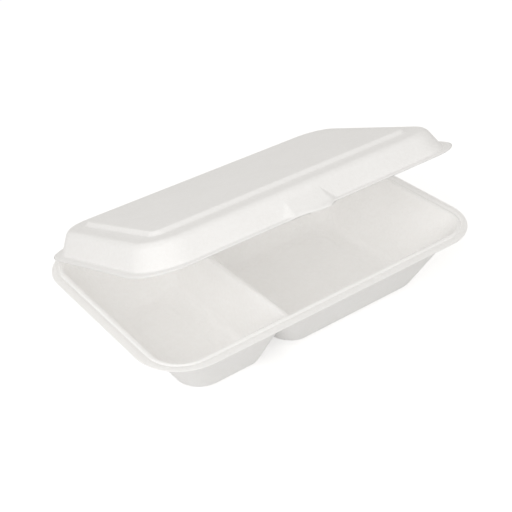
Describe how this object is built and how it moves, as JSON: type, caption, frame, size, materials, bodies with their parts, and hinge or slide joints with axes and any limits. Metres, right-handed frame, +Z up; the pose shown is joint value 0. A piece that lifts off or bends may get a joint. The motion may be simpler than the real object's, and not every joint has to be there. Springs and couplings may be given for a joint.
{
  "type": "bagasse meal box",
  "caption": "Moulded pulp clamshell meal box: a divided tray with a rolled rim, and a shallow domed lid that hinges on the back edge, with a moulded tab at its front.",
  "frame": {"origin": "on the table, under the middle of the tray's rim", "axes": "+X along the length towards the large compartment, +Y from the front to the hinged back edge, +Z up"},
  "size_m": [0.25, 0.1613, 0.1115],
  "materials": {
    "pulp": "matt, faintly felted pressed pulp"
  },
  "bodies": {
    "tray": {"tray": "pulp"},
    "lid": {"lid": "pulp"}
  },
  "joints": [
    {"name": "lid_hinge", "type": "hinge", "parent": "tray", "child": "lid", "pos_m": [0, 0.08065, 0.04538], "axis": [-1, 0, 0], "range_deg": [-21.2, 158.8]}
  ]
}
